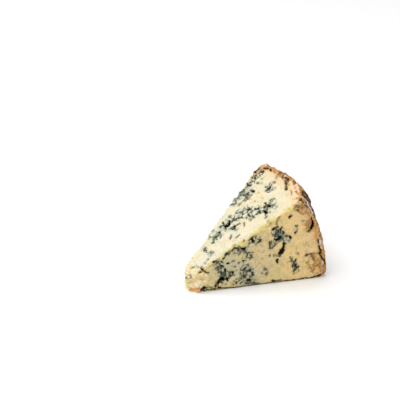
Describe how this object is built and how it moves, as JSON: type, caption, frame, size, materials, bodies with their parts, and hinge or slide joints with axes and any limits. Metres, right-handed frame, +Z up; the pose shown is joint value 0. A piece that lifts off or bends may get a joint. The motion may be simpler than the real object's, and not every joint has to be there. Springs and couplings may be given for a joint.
{
  "type": "blue cheese wedge",
  "caption": "Wedge of blue-veined cheese with a crusty natural rind at its thick end, resting on one cut face, its point broken off.",
  "frame": {"origin": "on the floor, under the middle of the wedge's box", "axes": "+X from the broken point to the rind, +Y from the front cut to the back along the axis of the wheel it was cut from, +Z up from the cut face that it rests on"},
  "size_m": [0.086, 0.0642, 0.0544],
  "materials": {
    "cheese": "moist cream paste with blue-green mould veins and a brown crusty rind"
  },
  "bodies": {
    "root": {"blue_cheese_wedge": "cheese"}
  },
  "joints": []
}
